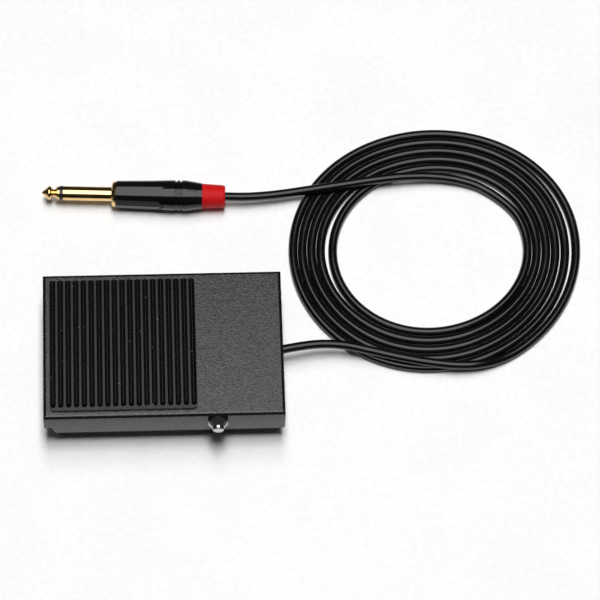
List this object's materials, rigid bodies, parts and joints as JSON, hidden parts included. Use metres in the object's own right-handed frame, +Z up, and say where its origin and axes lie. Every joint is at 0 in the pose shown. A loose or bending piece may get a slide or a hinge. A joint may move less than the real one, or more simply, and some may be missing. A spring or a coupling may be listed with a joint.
{
  "type": "sustain pedal",
  "caption": "Black metal sustain pedal with a ribbed rubber tread, a coiled black cord and a gilt phone plug with a black barrel and red cap.",
  "frame": {"origin": "centre of the sole's underside, on the surface the pedal stands on", "axes": "+X along the treadle's length, from the toe end to the end the cord leaves by; +Z up; -Y is the side with the axle nut"},
  "size_m": [0.2362, 0.1507, 0.0285],
  "materials": {
    "black_paint": "satin",
    "black_rubber": "matt",
    "nickel_plate": "bright",
    "zinc_steel": "satin",
    "spring_steel": "bright",
    "white_nylon": "satin",
    "switch_plastic": "satin",
    "red_plastic": "gloss",
    "contact_brass": "bright",
    "solder": "satin",
    "black_plastic": "satin",
    "barrel_plastic": "satin",
    "red_cap": "satin",
    "gilt_brass": "polished",
    "cord_jacket": "satin"
  },
  "bodies": {
    "base": {"base_tray": "black_paint", "sole_sheet": "black_rubber", "axle_bush_near": "white_nylon", "axle_bush_far": "white_nylon", "axle_sleeve": "zinc_steel", "spring_seat": "white_nylon", "return_spring": "spring_steel", "down_stops": "black_rubber", "rest_stops": "black_rubber", "switch_bracket": "zinc_steel", "bracket_screws": "zinc_steel", "switch_case": "switch_plastic", "switch_cover": "switch_plastic", "lever_pin": "nickel_plate", "terminal_com": "contact_brass", "terminal_no": "contact_brass", "terminal_nc": "contact_brass", "switch_screws": "zinc_steel", "switch_nuts": "zinc_steel", "cord_grommet": "black_rubber", "cord_anchor": "black_plastic", "cord_strap": "black_plastic", "strap_screws": "zinc_steel", "cord_inner": "cord_jacket", "wire_signal": "red_plastic", "wire_return": "white_nylon", "solder_joints": "solder", "cord_lead": "cord_jacket", "cord_coil": "cord_jacket", "cord_tail": "cord_jacket", "plug_tip": "gilt_brass", "plug_insulator": "black_plastic", "plug_sleeve": "gilt_brass", "plug_tip_rod": "contact_brass", "plug_core_washer": "white_nylon", "plug_lug_tip": "contact_brass", "plug_lug_sleeve": "contact_brass", "plug_shell": "barrel_plastic", "plug_chuck": "black_plastic", "plug_bushing": "red_cap", "plug_cord_stub": "cord_jacket", "plug_wires": "white_nylon"},
    "treadle_assembly": {"treadle": "black_paint", "tread_pad": "black_rubber", "pivot_axle": "nickel_plate", "axle_nut": "nickel_plate", "actuator_tab": "zinc_steel", "spring_cup": "white_nylon"},
    "lever": {"switch_lever": "spring_steel"},
    "plunger": {"switch_plunger": "red_plastic"},
    "blade": {"switch_blade": "contact_brass"}
  },
  "joints": [
    {"name": "treadle_pivot", "type": "hinge", "parent": "base", "child": "treadle_assembly", "pos_m": [0.0225, 0, 0.0205], "axis": [0, -1, 0], "range_deg": [0, 3.5], "stiffness_Nm_per_rad": 3.3, "springref_deg": -6.59, "deforming": ["return_spring"]},
    {"name": "lever_pivot", "type": "hinge", "parent": "base", "child": "lever", "pos_m": [0.0106, 0.012, 0.0196], "axis": [0, -1, 0], "range_deg": [0, 5.6]},
    {"name": "plunger_slide", "type": "slide", "parent": "base", "child": "plunger", "axis": [0, 0, -1], "range_m": [0, 0.0005]},
    {"name": "blade_flex", "type": "hinge", "parent": "base", "child": "blade", "pos_m": [0.01, 0.012, 0.0152], "axis": [0, -1, 0], "range_deg": [0, 5.9]}
  ],
  "couplings": [
    {"joint": "lever_pivot", "follows": "treadle_pivot", "ratio": 1.58},
    {"joint": "plunger_slide", "follows": "treadle_pivot", "m_per_rad": 0.00805},
    {"joint": "blade_flex", "follows": "treadle_pivot", "ratio": 1.65}
  ]
}
